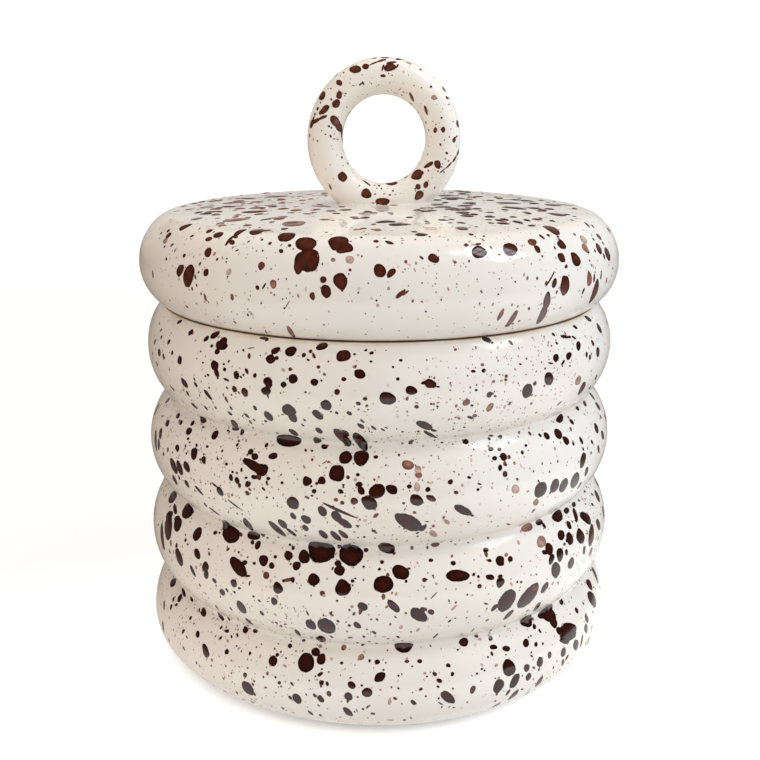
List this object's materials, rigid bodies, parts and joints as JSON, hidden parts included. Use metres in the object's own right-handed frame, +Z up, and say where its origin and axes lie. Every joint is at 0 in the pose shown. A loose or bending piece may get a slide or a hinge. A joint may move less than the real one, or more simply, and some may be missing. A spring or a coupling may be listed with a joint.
{
  "type": "storage jar",
  "caption": "Round ceramic storage jar with a ribbed, bulging wall, a lift-off pillow lid with a ring handle, and a cream glaze splattered with dark brown.",
  "frame": {"origin": "on the table under the jar's axis, in the plane of the foot ring", "axes": "+Z up along the jar's axis; the ring handle lies in the XZ plane and faces -Y"},
  "size_m": [0.2046, 0.2046, 0.252],
  "materials": {
    "cream_glaze": "glossy cream glaze",
    "splatter_glaze": "glossy dark red-brown glaze, flicked on in drops",
    "bare_clay": "unglazed, matt"
  },
  "bodies": {
    "pot": {"pot": "cream_glaze"},
    "lid": {"lid": "cream_glaze", "ring_handle": "cream_glaze"}
  },
  "joints": [
    {"name": "lid_lift", "type": "slide", "parent": "pot", "child": "lid", "axis": [0, 0, 1], "range_m": [0, 0.15]}
  ]
}
